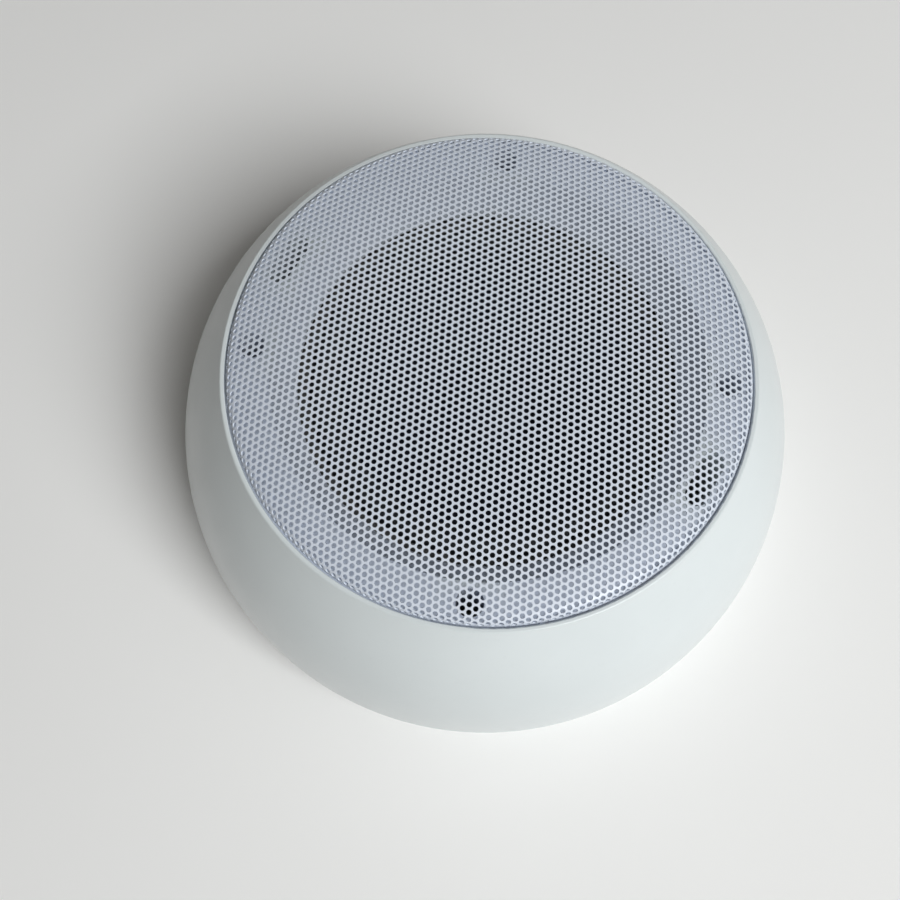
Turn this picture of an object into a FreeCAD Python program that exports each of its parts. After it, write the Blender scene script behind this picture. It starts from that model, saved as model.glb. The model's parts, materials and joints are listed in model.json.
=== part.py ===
import FreeCAD, Part
import Sketcher
import math
import os
import sys
from FreeCAD import Placement, Rotation, Vector

# Surface mounted ceiling speaker, lying on its back as it is stored.
# Millimetres. +Z is the speaker's axis, out through the grille. The origin is the centre of the flat
# back, the face that goes against the ceiling. +X points at one of the four screw wells.

os.makedirs("parts", exist_ok=True)
doc = FreeCAD.newDocument("CeilingSpeaker")

# ------------------------------------------------------------------ driving dimensions
DIMS = [
    # housing
    ("ball_rad", 122.5, "outside radius of the ball-shaped wall"),
    ("ball_mid", 24.0, "height of the ball's centre above the back"),
    ("wall", 3.0, "wall thickness of the ball"),
    ("lip_rad", 93.25, "inside radius of the lip round the grille"),
    ("lip_top", 101.6, "height of the lip"),
    ("lip_out_round", 0.8, "outer rounding of the lip"),
    ("lip_in_round", 0.4, "inner rounding of the lip"),
    ("ring_top", 99.3, "front face of the baffle ring"),
    ("ring_thick", 2.8, "thickness of the baffle ring"),
    ("funnel_rad", 78.0, "radius where the funnel starts"),
    ("open_rad", 70.0, "radius of the driver opening"),
    ("open_top", 86.1, "height of the opening's edge"),
    ("rim_low", 83.5, "underside of the opening's rim"),
    ("rim_rad", 73.2, "outside radius of the opening's rim"),
    ("crush_deep", 0.63, "height of the crush ribs that hold the grille"),
    ("crush_wide", 2.0, "width of a crush rib"),
    # screw wells, driver bosses and through-ways of the housing
    ("well_pitch", 85.0, "radius of the circle of screw wells"),
    ("well_bore", 4.75, "radius of a screw well"),
    ("well_wall", 2.2, "wall of a screw well"),
    ("well_foot", 13.0, "height of a well's lower end"),
    ("well_floor", 19.0, "height of a well's floor"),
    ("well_hole", 2.25, "radius of the hole in a well's floor"),
    ("way_pitch", 84.5, "radius at which the through-ways stand"),
    ("way_angle", -25.05, "angle of the through-ways from a well"),
    ("way_long", 21.0, "length of a through-way"),
    ("way_wide", 8.0, "width of a through-way"),
    ("way_wall", 2.0, "wall of a through-way"),
    ("boss_pitch", 78.5, "radius of the circle of driver bosses"),
    ("boss_rad", 4.0, "radius of a driver boss"),
    ("boss_foot", 78.5, "height of a driver boss's end face"),
    ("boss_pilot", 1.5, "radius of a boss's pilot hole"),
    ("boss_deep", 12.0, "depth of a boss's pilot hole"),
    # grille
    ("grille_rad", 92.6, "outside radius of the grille"),
    ("grille_top", 110.0, "height of the grille's middle"),
    ("grille_fall", 5.331, "how far the grille has fallen where its edge turns down"),
    ("bend_start", 89.53, "radius where the edge starts to turn down"),
    ("edge_bend", 4.0, "outside radius of the bend at the edge"),
    ("grille_thick", 0.5, "sheet thickness"),
    # driver
    ("frame_rad", 77.0, "radius of the driver's flange"),
    ("frame_top", 78.5, "front face of the driver's flange"),
    ("frame_thick", 1.0, "thickness of the pressed frame"),
    ("ear_reach", 84.0, "radius to the end of an ear"),
    ("ear_wide", 17.0, "width of an ear"),
    ("ear_hole", 2.25, "radius of the hole in an ear"),
    ("seat_rad", 60.0, "inner radius of the flange"),
    ("ledge_top", 52.5, "front face of the spider ledge"),
    ("ledge_out", 43.0, "outer radius of the spider ledge"),
    ("ledge_in", 36.0, "inner radius of the spider ledge"),
    ("floor_top", 45.0, "front face of the frame's floor"),
    ("tab_reach", 57.0, "radius to the end of the terminal tab"),
    ("tab_wide", 18.0, "width of the terminal tab"),
    ("plate_rad", 36.0, "radius of the front plate"),
    ("plate_hole", 14.15, "radius of the hole in the front plate"),
    ("plate_thick", 5.0, "thickness of the front plate"),
    ("magnet_rad", 40.0, "radius of the magnet"),
    ("magnet_hole", 17.0, "radius of the hole in the magnet"),
    ("magnet_thick", 13.0, "thickness of the magnet"),
    ("yoke_rad", 38.0, "radius of the yoke"),
    ("yoke_thick", 5.0, "thickness of the yoke"),
    ("pole_rad", 12.3, "radius of the centre pole"),
    ("former_in", 12.6, "inside radius of the coil former"),
    ("former_out", 12.85, "outside radius of the coil former"),
    ("former_low", 36.5, "lower end of the coil former"),
    ("former_top", 59.4, "upper end of the coil former"),
    ("coil_out", 13.75, "outside radius of the voice coil"),
    ("coil_low", 37.0, "lower end of the voice coil"),
    ("coil_long", 9.0, "length of the voice coil"),
    ("cone_rad", 57.5, "outer radius of the cone"),
    ("cone_lip", 54.5, "inner radius of the cone's flat lip"),
    ("cone_neck", 58.0, "height of the cone's neck"),
    ("paper", 0.7, "thickness of the cone paper"),
    ("cap_rad", 18.0, "radius of the dust cap"),
    ("cap_rise", 6.5, "rise of the dust cap"),
    ("rubber", 0.6, "thickness of the surround"),
    ("roll_mid", 61.5, "radius of the crest of the surround"),
    ("roll_rad", 4.3, "outer radius of the surround's roll"),
    ("surround_rad", 69.5, "outer radius of the surround"),
    ("card_in", 66.2, "inner radius of the card gasket"),
    ("card_out", 74.3, "outer radius of the card gasket"),
    ("card_top", 80.7, "front face of the card gasket"),
    ("foam_in", 70.3, "inner radius of the foam seal"),
    # back plate
    ("back_rad", 116.4, "radius of the back plate"),
    ("back_thick", 3.0, "thickness of the back plate"),
    ("post_rad", 6.0, "radius of a screw post on the back plate"),
    ("post_pilot", 2.0, "radius of a post's pilot hole"),
    ("fix_hole", 2.75, "radius of a ceiling fixing hole"),
    ("entry_pitch", 54.0, "distance of the cable entry from the axis"),
    ("entry_rad", 7.0, "radius of the hole for the cable bush"),
    ("entry_seat", 9.0, "radius of the bush's recess"),
    ("entry_deep", 1.3, "depth of the bush's recess"),
    ("bush_bore", 4.0, "bore radius of the cable bush"),
    ("bush_rad", 9.6, "radius of the bush's inside flange"),
    # transformer, in its own frame: x radial, y along the wall, z up
    ("core_wide", 42.0, "width of the core"),
    ("core_tall", 35.0, "height of the core"),
    ("core_deep", 14.0, "stack of the core"),
    ("core_leg", 14.0, "width of the core's middle leg"),
    ("core_yoke", 7.0, "width of the core's outer legs and yokes"),
    ("core_low", 3.0, "underside of the core"),
    ("trans_pitch", 82.0, "distance of the transformer from the axis"),
    ("strap", 0.8, "thickness of the strap"),
    ("strap_wide", 11.0, "width of the strap"),
    ("foot_low", 8.0, "underside of the strap's feet"),
    ("foot_reach", 32.0, "half length over the strap's feet"),
    ("foot_hole", 27.0, "distance of a foot's hole from the middle"),
    # terminal block
    ("block_pitch", 82.0, "distance of the terminal block from the axis"),
    ("block_long", 26.0, "length of the block"),
    ("block_deep", 13.0, "depth of the block"),
    ("block_tall", 12.0, "height of the block"),
    ("block_low", 6.0, "underside of the block"),
]
sheet = doc.addObject("Spreadsheet::Sheet", "dims")
VALUE = {}
for row, (name, number, words) in enumerate(DIMS, start=1):
    sheet.set("A%d" % row, name)
    sheet.set("B%d" % row, str(number))
    sheet.set("C%d" % row, words)
    sheet.setAlias("B%d" % row, name)
    VALUE[name] = float(number)
doc.recompute()


class Size:
    """A length that is known both as a number and as an expression on the sheet."""

    def __init__(self, number, words):
        self.number = float(number)
        self.words = words

    def _other(self, other):
        return other if isinstance(other, Size) else Size(other, repr(float(other)))

    def __add__(self, other):
        other = self._other(other)
        return Size(self.number + other.number, "(%s + %s)" % (self.words, other.words))

    def __sub__(self, other):
        other = self._other(other)
        return Size(self.number - other.number, "(%s - %s)" % (self.words, other.words))

    def __mul__(self, other):
        other = self._other(other)
        return Size(self.number * other.number, "(%s * %s)" % (self.words, other.words))

    def __truediv__(self, other):
        other = self._other(other)
        return Size(self.number / other.number, "(%s / %s)" % (self.words, other.words))

    def root(self):
        return Size(math.sqrt(self.number), "sqrt(%s)" % self.words)


def dim(name):
    return Size(VALUE[name], "dims." + name)


def plain(number):
    return Size(number, repr(float(number)))


def value_of(name):
    """The number that the sheet holds under this name."""
    cell = sheet.get("B%d" % ([d[0] for d in DIMS].index(name) + 1))
    return float(getattr(cell, "Value", cell))


def as_size(x):
    return x if isinstance(x, Size) else plain(x)


# ------------------------------------------------------------------ helpers
def new_body(label):
    body = doc.addObject("PartDesign::Body", "Body_" + label)
    body.Label = label
    return body


def plane_of(body, role):
    for feature in body.Origin.OriginFeatures:
        if feature.Role == role:
            return feature
    raise RuntimeError("no " + role)


def new_sketch(body, name, role, lift=None):
    sketch = body.newObject("Sketcher::SketchObject", name)
    sketch.AttachmentSupport = [(plane_of(body, role), "")]
    sketch.MapMode = "FlatFace"
    if lift is not None:
        lift = as_size(lift)
        sketch.AttachmentOffset = Placement(Vector(0, 0, lift.number), Rotation())
        if "dims." in lift.words:
            sketch.setExpression("AttachmentOffset.Base.z", lift.words)
    return sketch


def hold(sketch, kind, *rest):
    """Adds a dimension whose value is bound to the sheet."""
    size = as_size(rest[-1])
    refs = rest[:-1]
    if abs(size.number) < 1e-9 and kind in ("DistanceX", "DistanceY"):
        # a point on an axis
        geo, pos = refs[-2], refs[-1]
        axis = -2 if kind == "DistanceX" else -1
        sketch.addConstraint(Sketcher.Constraint("PointOnObject", geo, pos, axis))
        return
    index = sketch.addConstraint(Sketcher.Constraint(kind, *refs, size.number))
    if "dims." in size.words:
        sketch.setExpression("Constraints[%d]" % index, size.words)


def circle_at(sketch, x, y, rad):
    x, y, rad = as_size(x), as_size(y), as_size(rad)
    k = sketch.addGeometry(
        Part.Circle(Vector(x.number, y.number, 0), Vector(0, 0, 1), rad.number), False
    )
    hold(sketch, "DistanceX", -1, 1, k, 3, x)
    hold(sketch, "DistanceY", -1, 1, k, 3, y)
    hold(sketch, "Radius", k, rad)
    return k


def raised(body, name, sketch, length, down=False):
    feature = body.newObject("PartDesign::Pad", name)
    feature.Profile = sketch
    length = as_size(length)
    feature.Length = length.number
    if "dims." in length.words:
        feature.setExpression("Length", length.words)
    feature.Reversed = down
    doc.recompute()
    return feature


def sunk(body, name, sketch, length, up=False):
    """A pocket; up cuts towards +Z."""
    before = body.Shape.Volume
    feature = body.newObject("PartDesign::Pocket", name)
    feature.Profile = sketch
    length = as_size(length)
    feature.Length = length.number
    if "dims." in length.words:
        feature.setExpression("Length", length.words)
    feature.Reversed = up
    doc.recompute()
    if not body.Shape.Volume < before - 0.01:
        raise RuntimeError("%s cuts nothing" % name)
    return feature


def around(body, name, originals, count):
    feature = body.newObject("PartDesign::PolarPattern", name)
    feature.Originals = originals
    feature.Axis = (plane_of(body, "Z_Axis"), [""])
    feature.Angle = 360
    feature.Occurrences = count
    body.Tip = feature
    doc.recompute()
    return feature


def slot_at(sketch, x, y, long_, wide):
    """An oblong outline, its long way along the sketch's Y, centred on (x, y)."""
    x, y, long_, wide = as_size(x), as_size(y), as_size(long_), as_size(wide)
    rad = wide.number / 2
    half = long_.number / 2 - rad
    cx, cy = x.number, y.number
    up = sketch.addGeometry(
        Part.ArcOfCircle(Part.Circle(Vector(cx, cy + half, 0), Vector(0, 0, 1), rad), 0, math.pi), False
    )
    left = sketch.addGeometry(
        Part.LineSegment(Vector(cx - rad, cy + half, 0), Vector(cx - rad, cy - half, 0)), False
    )
    low = sketch.addGeometry(
        Part.ArcOfCircle(
            Part.Circle(Vector(cx, cy - half, 0), Vector(0, 0, 1), rad), math.pi, 2 * math.pi
        ),
        False,
    )
    right = sketch.addGeometry(
        Part.LineSegment(Vector(cx + rad, cy - half, 0), Vector(cx + rad, cy + half, 0)), False
    )
    add = sketch.addConstraint
    add(Sketcher.Constraint("Tangent", up, 2, left, 1))
    add(Sketcher.Constraint("Tangent", left, 2, low, 1))
    add(Sketcher.Constraint("Tangent", low, 2, right, 1))
    add(Sketcher.Constraint("Tangent", right, 2, up, 1))
    add(Sketcher.Constraint("Vertical", left))
    hold(sketch, "DistanceX", -1, 1, up, 3, x)
    hold(sketch, "DistanceY", -1, 1, up, 3, y + (long_ - wide) / 2)
    hold(sketch, "DistanceY", -1, 1, low, 3, y - (long_ - wide) / 2)
    hold(sketch, "Radius", up, wide / 2)


def box_outline(sketch, x0, y0, x1, y1):
    x0, y0, x1, y1 = (as_size(q) for q in (x0, y0, x1, y1))
    c = [(x0, y0), (x1, y0), (x1, y1), (x0, y1)]
    ids = []
    for k in range(4):
        a, b = c[k], c[(k + 1) % 4]
        ids.append(
            sketch.addGeometry(
                Part.LineSegment(
                    Vector(a[0].number, a[1].number, 0), Vector(b[0].number, b[1].number, 0)
                ),
                False,
            )
        )
    for k in range(4):
        sketch.addConstraint(Sketcher.Constraint("Coincident", ids[k], 2, ids[(k + 1) % 4], 1))
    for k, kind in enumerate(("Horizontal", "Vertical", "Horizontal", "Vertical")):
        sketch.addConstraint(Sketcher.Constraint(kind, ids[k]))
    hold(sketch, "DistanceX", -1, 1, ids[0], 1, x0)
    hold(sketch, "DistanceY", -1, 1, ids[0], 1, y0)
    hold(sketch, "DistanceX", -1, 1, ids[2], 1, x1)
    hold(sketch, "DistanceY", -1, 1, ids[2], 1, y1)
    return ids


def turn_about_z(sketch, degrees):
    """Turns a sketch on an XY plane about the speaker's axis, keeping its height."""
    old = sketch.AttachmentOffset
    sketch.AttachmentOffset = Placement(old.Base, Rotation(Vector(0, 0, 1), degrees))


# ------------------------------------------------------------------ housing
# One moulding: ball-shaped wall cut off flat front and back, narrow rounded lip, baffle ring, funnel,
# four screw wells, two oblong through-ways over the ceiling fixings, four driver bosses.
housing = new_body("housing")
R, M = dim("ball_rad"), dim("ball_mid")
Ri = R - dim("wall")
ro = dim("lip_out_round")
ri = dim("lip_in_round")
out_cy = dim("lip_top") - ro
out_cx = ((R - ro) * (R - ro) - (out_cy - M) * (out_cy - M)).root()
# where the lip's outer round meets the ball
touch_x = out_cx * R / (R - ro)
touch_y = M + (out_cy - M) * R / (R - ro)
ring_low = dim("ring_top") - dim("ring_thick")
fx, fz = 78.0 - 70.0, 99.3 - 86.1
flen = math.hypot(fx, fz)
back_x = dim("open_rad") + 2.6 * fz / flen
back_z = dim("open_top") - 2.6 * fx / flen
slope = (dim("funnel_rad") - dim("open_rad")) / (dim("ring_top") - dim("open_top"))


def plain_loop(sketch, corners):
    """As loop(), with every corner given by both coordinates; arcs keep their ends and their radius."""
    n = len(corners)
    ids = []
    spots = [(as_size(c[0]).number, as_size(c[1]).number) for c in corners]
    for k in range(n):
        a, b = spots[k], spots[(k + 1) % n]
        bow = corners[k][2] if len(corners[k]) > 2 else None
        if bow is None:
            geo = Part.LineSegment(Vector(a[0], a[1], 0), Vector(b[0], b[1], 0))
        else:
            rad, side = as_size(bow[0]).number, bow[1]
            mx, my = (a[0] + b[0]) / 2, (a[1] + b[1]) / 2
            dx, dy = b[0] - a[0], b[1] - a[1]
            gap = math.hypot(dx, dy)
            off = math.sqrt(max(rad * rad - gap * gap / 4, 0.0))
            # side +1: the arc turns anticlockwise from a to b, with its centre on the left
            cx, cy = mx - side * dy / gap * off, my + side * dx / gap * off
            start = math.atan2(a[1] - cy, a[0] - cx)
            end = math.atan2(b[1] - cy, b[0] - cx)
            circle = Part.Circle(Vector(cx, cy, 0), Vector(0, 0, 1), rad)
            geo = (
                Part.ArcOfCircle(circle, start, end)
                if side > 0
                else Part.ArcOfCircle(circle, end, start)
            )
        ids.append(sketch.addGeometry(geo, False))

    def ends(k):
        bow = corners[k][2] if len(corners[k]) > 2 else None
        return (1, 2) if bow is None or bow[1] > 0 else (2, 1)

    for k in range(n):
        j = (k + 1) % n
        sketch.addConstraint(Sketcher.Constraint("Coincident", ids[k], ends(k)[1], ids[j], ends(j)[0]))
    for k in range(n):
        hold(sketch, "DistanceX", -1, 1, ids[k], ends(k)[0], corners[k][0])
        hold(sketch, "DistanceY", -1, 1, ids[k], ends(k)[0], corners[k][1])
        bow = corners[k][2] if len(corners[k]) > 2 else None
        if bow is not None:
            hold(sketch, "Radius", ids[k], bow[0])
    return ids


def spun(body, name, corners, cut=False):
    """A ring turned about Z from an outline in the XZ plane."""
    before = body.Shape.Volume if cut else 0.0
    sketch = new_sketch(body, name + "_outline", "XZ_Plane")
    plain_loop(sketch, corners)
    doc.recompute()
    feature = body.newObject("PartDesign::Groove" if cut else "PartDesign::Revolution", name)
    feature.Profile = sketch
    feature.ReferenceAxis = (sketch, ["V_Axis"])
    feature.Angle = 360
    doc.recompute()
    if cut and not body.Shape.Volume < before - 0.01:
        raise RuntimeError("%s cuts nothing" % name)
    return feature


base_out = (R * R - M * M).root()
base_in = (Ri * Ri - M * M).root()
under_x = (Ri * Ri - (ring_low - M) * (ring_low - M)).root()
back_slope_x = back_x + (ring_low - back_z) * slope
rim_back_z = back_z + (dim("rim_rad") - back_x) / slope
spun(
    housing,
    "Shell",
    [
        (base_out, 0.0, (R, +1)),
        (touch_x, touch_y, (ro, +1)),
        (out_cx, dim("lip_top")),
        (dim("lip_rad") + ri, dim("lip_top"), (ri, +1)),
        (dim("lip_rad"), dim("lip_top") - ri),
        (dim("lip_rad"), dim("ring_top")),
        (dim("funnel_rad"), dim("ring_top")),
        (dim("open_rad"), dim("open_top")),
        (dim("open_rad"), dim("rim_low")),
        (dim("rim_rad"), dim("rim_low")),
        (dim("rim_rad"), rim_back_z),
        (back_slope_x, ring_low),
        (under_x, ring_low, (Ri, -1)),
        (base_in, 0.0),
    ],
)
# tubes of the screw wells
sk = new_sketch(housing, "WellTube_outline", "XY_Plane", dim("well_foot"))
circle_at(sk, dim("well_pitch"), 0.0, dim("well_bore") + dim("well_wall"))
doc.recompute()
well_tube = raised(housing, "WellTube", sk, dim("ring_top") - dim("well_foot") - 1.0)
around(housing, "WellTubes", [well_tube], 4)
# driver bosses
sk = new_sketch(housing, "DriverBoss_outline", "XY_Plane", dim("boss_foot"))
circle_at(sk, dim("boss_pitch") * math.sqrt(0.5), dim("boss_pitch") * math.sqrt(0.5), dim("boss_rad"))
doc.recompute()
driver_boss = raised(housing, "DriverBoss", sk, dim("ring_top") - dim("boss_foot") - 1.5)
around(housing, "DriverBosses", [driver_boss], 4)
# walls of the through-ways
sk = new_sketch(housing, "WayWall_outline", "XY_Plane", dim("back_thick"))
slot_at(
    sk,
    dim("way_pitch"),
    0.0,
    dim("way_long") + dim("way_wall") * 2,
    dim("way_wide") + dim("way_wall") * 2,
)
turn_about_z(sk, VALUE["way_angle"])
sk.setExpression("AttachmentOffset.Base.z", "dims.back_thick")
doc.recompute()
way_wall = raised(housing, "WayWall", sk, dim("ring_top") - dim("back_thick") - 1.0)
around(housing, "WayWalls", [way_wall], 2)
# whatever reaches into the funnel is cleared
spun(
    housing,
    "FrontClear",
    [
        (0.0, dim("rim_low")),
        (dim("open_rad"), dim("rim_low")),
        (dim("open_rad"), dim("open_top")),
        (dim("funnel_rad"), dim("ring_top")),
        (dim("lip_rad"), dim("ring_top")),
        (dim("lip_rad"), dim("lip_top") + 2.0),
        (0.0, dim("lip_top") + 2.0),
    ],
    cut=True,
)
# bores of the wells, and the holes in their floors
sk = new_sketch(housing, "WellBore_outline", "XY_Plane", dim("ring_top"))
circle_at(sk, dim("well_pitch"), 0.0, dim("well_bore"))
doc.recompute()
well_bore = sunk(housing, "WellBore", sk, dim("ring_top") - dim("well_floor"))
around(housing, "WellBores", [well_bore], 4)
sk = new_sketch(housing, "WellHole_outline", "XY_Plane", dim("well_floor"))
circle_at(sk, dim("well_pitch"), 0.0, dim("well_hole"))
doc.recompute()
well_hole = sunk(housing, "WellHole", sk, dim("well_floor") - dim("well_foot") + 1.0)
around(housing, "WellHoles", [well_hole], 4)
# through-ways
sk = new_sketch(housing, "Way_outline", "XY_Plane", dim("ring_top"))
slot_at(sk, dim("way_pitch"), 0.0, dim("way_long"), dim("way_wide"))
turn_about_z(sk, VALUE["way_angle"])
sk.setExpression("AttachmentOffset.Base.z", "dims.ring_top")
doc.recompute()
way = sunk(housing, "Way", sk, dim("ring_top"))
around(housing, "Ways", [way], 2)
# pilot holes of the driver bosses
sk = new_sketch(housing, "BossPilot_outline", "XY_Plane", dim("boss_foot"))
circle_at(sk, dim("boss_pitch") * math.sqrt(0.5), dim("boss_pitch") * math.sqrt(0.5), dim("boss_pilot"))
doc.recompute()
boss_pilot = sunk(housing, "BossPilot", sk, dim("boss_deep"), up=True)
around(housing, "BossPilots", [boss_pilot], 4)
# crush ribs on the lip that hold the grille's edge
sk = new_sketch(housing, "CrushRib_outline", "XY_Plane", dim("ring_top") - 0.2)
box_outline(
    sk,
    dim("lip_rad") - dim("crush_deep"),
    dim("crush_wide") / -2.0,
    dim("lip_rad") + 0.6,
    dim("crush_wide") / 2.0,
)
turn_about_z(sk, 15.0)
sk.setExpression("AttachmentOffset.Base.z", "dims.ring_top - 0.2")
doc.recompute()
crush = raised(housing, "CrushRib", sk, 0.9)
around(housing, "CrushRibs", [crush], 4)

# ------------------------------------------------------------------ back plate
back_plate = new_body("back_plate")
sk = new_sketch(back_plate, "Disc_outline", "XY_Plane")
circle_at(sk, 0.0, 0.0, dim("back_rad"))
doc.recompute()
raised(back_plate, "Disc", sk, dim("back_thick"))
sk = new_sketch(back_plate, "Post_outline", "XY_Plane", dim("back_thick") - 1.0)
circle_at(sk, dim("well_pitch"), 0.0, dim("post_rad"))
doc.recompute()
post = raised(back_plate, "Post", sk, dim("well_foot") - dim("back_thick") + 1.0)
around(back_plate, "Posts", [post], 4)
# pads for the transformer's feet and the terminal block
s45 = math.sqrt(0.5)
sk = new_sketch(back_plate, "FootPad_outline", "XY_Plane", dim("back_thick") - 1.0)
for side in (-1.0, 1.0):
    circle_at(
        sk,
        (dim("trans_pitch") - dim("foot_hole") * side) * s45,
        (dim("trans_pitch") + dim("foot_hole") * side) * s45,
        4.0,
    )
doc.recompute()
raised(back_plate, "FootPad", sk, dim("foot_low") - dim("back_thick") + 1.0)
sk = new_sketch(back_plate, "BlockPad_outline", "XY_Plane", dim("back_thick") - 1.0)
box_outline(
    sk,
    (dim("block_pitch") + dim("block_deep") / 2.0) * -1.0,
    dim("block_long") / -2.0,
    (dim("block_pitch") - dim("block_deep") / 2.0) * -1.0,
    dim("block_long") / 2.0,
)
turn_about_z(sk, 45.0)
sk.setExpression("AttachmentOffset.Base.z", "dims.back_thick - 1")
doc.recompute()
raised(back_plate, "BlockPad", sk, dim("block_low") - dim("back_thick") + 1.0)
# stiffening ring round the rim
spun(
    back_plate,
    "RimRib",
    [
        (dim("back_rad") - 4.0, dim("back_thick") - 0.5),
        (dim("back_rad") - 2.0, dim("back_thick") - 0.5),
        (dim("back_rad") - 2.0, dim("back_thick") + 4.0),
        (dim("back_rad") - 4.0, dim("back_thick") + 4.0),
    ],
)
# pilot holes
sk = new_sketch(back_plate, "PostPilot_outline", "XY_Plane", dim("well_foot"))
circle_at(sk, dim("well_pitch"), 0.0, dim("post_pilot"))
doc.recompute()
post_pilot = sunk(back_plate, "PostPilot", sk, dim("well_foot") - 2.0)
around(back_plate, "PostPilots", [post_pilot], 4)
sk = new_sketch(back_plate, "FootPilot_outline", "XY_Plane", dim("foot_low"))
for side in (-1.0, 1.0):
    circle_at(
        sk,
        (dim("trans_pitch") - dim("foot_hole") * side) * s45,
        (dim("trans_pitch") + dim("foot_hole") * side) * s45,
        1.3,
    )
doc.recompute()
sunk(back_plate, "FootPilot", sk, dim("foot_low") - 1.5)
sk = new_sketch(back_plate, "BlockPilot_outline", "XY_Plane", dim("block_low"))
circle_at(sk, dim("block_pitch") * -s45, dim("block_pitch") * -s45, 1.3)
doc.recompute()
sunk(back_plate, "BlockPilot", sk, dim("block_low") - 1.5)
# ceiling fixing holes, under the through-ways
sk = new_sketch(back_plate, "Fixing_outline", "XY_Plane", dim("back_thick"))
circle_at(sk, dim("way_pitch"), 0.0, dim("fix_hole"))
turn_about_z(sk, VALUE["way_angle"])
sk.setExpression("AttachmentOffset.Base.z", "dims.back_thick")
doc.recompute()
fixing = sunk(back_plate, "Fixing", sk, dim("back_thick"))
around(back_plate, "Fixings", [fixing], 2)
# cable entry
sk = new_sketch(back_plate, "Entry_outline", "XY_Plane", dim("back_thick"))
circle_at(sk, dim("entry_pitch") * -s45, dim("entry_pitch") * -s45, dim("entry_rad"))
doc.recompute()
sunk(back_plate, "Entry", sk, dim("back_thick"))
sk = new_sketch(back_plate, "EntrySeat_outline", "XY_Plane")
circle_at(sk, dim("entry_pitch") * -s45, dim("entry_pitch") * -s45, dim("entry_seat"))
doc.recompute()
sunk(back_plate, "EntrySeat", sk, dim("entry_deep"), up=True)

# ------------------------------------------------------------------ cable bush
bush = new_body("cable_grommet")
spun(
    bush,
    "Bush",
    [
        (dim("bush_bore"), 0.2),
        (dim("entry_seat") - 0.2, 0.2),
        (dim("entry_seat") - 0.2, dim("entry_deep")),
        (dim("entry_rad"), dim("entry_deep")),
        (dim("entry_rad"), dim("back_thick")),
        (dim("bush_rad"), dim("back_thick")),
        (dim("bush_rad"), dim("back_thick") + 1.2, (1.2, +1)),
        (dim("bush_rad") - 1.2, dim("back_thick") + 2.4),
        (dim("bush_bore"), dim("back_thick") + 2.4),
    ],
)
bush.Placement = Placement(Vector(-54.0 * s45, -54.0 * s45, 0), Rotation())
bush.setExpression("Placement.Base.x", "-dims.entry_pitch * sqrt(0.5)")
bush.setExpression("Placement.Base.y", "-dims.entry_pitch * sqrt(0.5)")

# ------------------------------------------------------------------ driver: frame and magnet
basket = new_body("basket")
T = dim("frame_thick")
F = dim("frame_top")
spun(
    basket,
    "Pressing",
    [
        (dim("frame_rad"), F - T),
        (dim("frame_rad"), F),
        (dim("seat_rad"), F),
        (dim("seat_rad") - 0.6, F - 5.6),
        (dim("ledge_out"), dim("ledge_top")),
        (dim("ledge_in"), dim("ledge_top")),
        (dim("ledge_in") - 2.0, dim("floor_top")),
        (dim("plate_hole") + 1.2, dim("floor_top")),
        (dim("plate_hole") + 1.2, dim("floor_top") - T),
        (dim("ledge_in") - 1.2, dim("floor_top") - T),
        (dim("ledge_in") + 0.8, dim("ledge_top") - T),
        (dim("ledge_out") + 0.6, dim("ledge_top") - T),
        (dim("seat_rad") + 0.4, F - 6.2),
        (dim("seat_rad") + 1.0, F - T),
    ],
)
sk = new_sketch(basket, "Ear_outline", "XY_Plane", F - T)
box_outline(sk, dim("frame_rad") - 6.0, dim("ear_wide") / -2.0, dim("ear_reach"), dim("ear_wide") / 2.0)
turn_about_z(sk, 45.0)
sk.setExpression("AttachmentOffset.Base.z", "dims.frame_top - dims.frame_thick")
doc.recompute()
ear = raised(basket, "Ear", sk, T)
around(basket, "Ears", [ear], 4)
sk = new_sketch(basket, "EarHole_outline", "XY_Plane", F)
circle_at(sk, dim("boss_pitch") * s45, dim("boss_pitch") * s45, dim("ear_hole"))
doc.recompute()
ear_hole = sunk(basket, "EarHole", sk, T)
around(basket, "EarHoles", [ear_hole], 4)
# four windows in the sloping wall, with four spokes between them
sk = new_sketch(basket, "Window_outline", "XY_Plane", F - T - 2.0)
r_in, r_out, half = 45.6, 57.6, math.radians(28.0)
g1 = sk.addGeometry(
    Part.ArcOfCircle(Part.Circle(Vector(0, 0, 0), Vector(0, 0, 1), r_out), -half, half), False
)
g2 = sk.addGeometry(
    Part.ArcOfCircle(Part.Circle(Vector(0, 0, 0), Vector(0, 0, 1), r_in), -half, half), False
)


def polar(r, a):
    return Vector(r * math.cos(a), r * math.sin(a), 0)


g3 = sk.addGeometry(Part.LineSegment(polar(r_in, half), polar(r_out, half)), False)
g4 = sk.addGeometry(Part.LineSegment(polar(r_in, -half), polar(r_out, -half)), False)
for a, b in (((g1, 2), (g3, 2)), ((g2, 2), (g3, 1)), ((g1, 1), (g4, 2)), ((g2, 1), (g4, 1))):
    sk.addConstraint(Sketcher.Constraint("Coincident", a[0], a[1], b[0], b[1]))
sk.addConstraint(Sketcher.Constraint("Coincident", g1, 3, -1, 1))
sk.addConstraint(Sketcher.Constraint("Coincident", g2, 3, -1, 1))
hold(sk, "Radius", g1, dim("seat_rad") - 2.4)
hold(sk, "Radius", g2, dim("ledge_out") + 2.6)
sk.addConstraint(Sketcher.Constraint("Symmetric", g1, 1, g1, 2, -1))
sk.addConstraint(Sketcher.Constraint("PointOnObject", -1, 1, g3))
sk.addConstraint(Sketcher.Constraint("PointOnObject", -1, 1, g4))
k = sk.addConstraint(Sketcher.Constraint("Angle", g4, 1, g3, 1, 2 * half))
doc.recompute()
window = sunk(basket, "Window", sk, F - dim("ledge_top") - T - 2.0)
around(basket, "Windows", [window], 4)
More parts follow.
